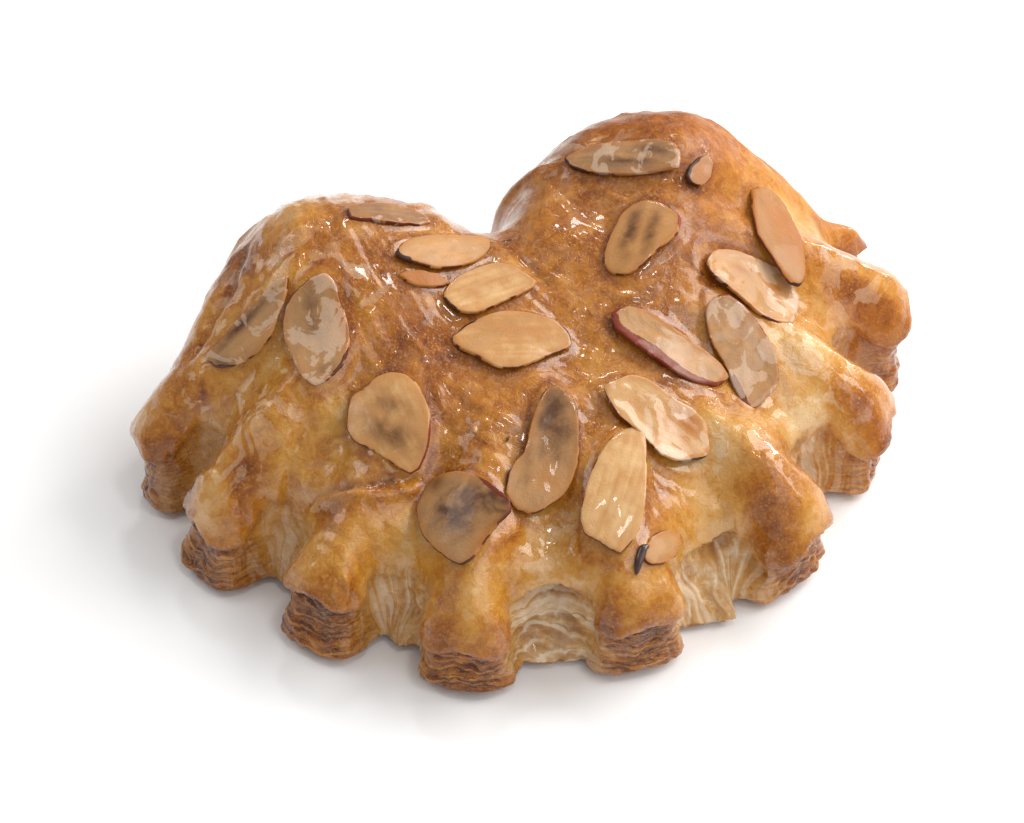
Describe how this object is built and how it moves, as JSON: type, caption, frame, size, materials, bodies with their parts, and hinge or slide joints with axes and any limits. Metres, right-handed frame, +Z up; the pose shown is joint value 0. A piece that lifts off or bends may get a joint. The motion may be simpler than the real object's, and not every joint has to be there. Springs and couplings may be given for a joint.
{
  "type": "bear claw",
  "caption": "Folded almond pastry bent into a fan of toes, with two humps at the back, layered cut ends, a glazed top and sliced almonds",
  "frame": {"origin": "middle of the bounding box, on the flat sole that the pastry rests on", "axes": "+X along the width from hump to hump, -Y towards the toes, +Z up"},
  "size_m": [0.1366, 0.098, 0.0484],
  "materials": {
    "dough": "golden brown baked dough under a clear sugar glaze",
    "almond": "toasted almond, cut face satin"
  },
  "bodies": {
    "root": {"pastry": "dough", "almond_slice_01": "almond", "almond_slice_02": "almond", "almond_slice_03": "almond", "almond_slice_04": "almond", "almond_slice_05": "almond", "almond_slice_06": "almond", "almond_slice_07": "almond", "almond_slice_08": "almond", "almond_slice_09": "almond", "almond_slice_10": "almond", "almond_slice_11": "almond", "almond_slice_12": "almond", "almond_slice_13": "almond", "almond_slice_14": "almond", "almond_slice_15": "almond", "almond_slice_16": "almond", "almond_slice_17": "almond", "almond_slice_18": "almond", "almond_slice_19": "almond", "almond_slice_20": "almond"}
  },
  "joints": []
}
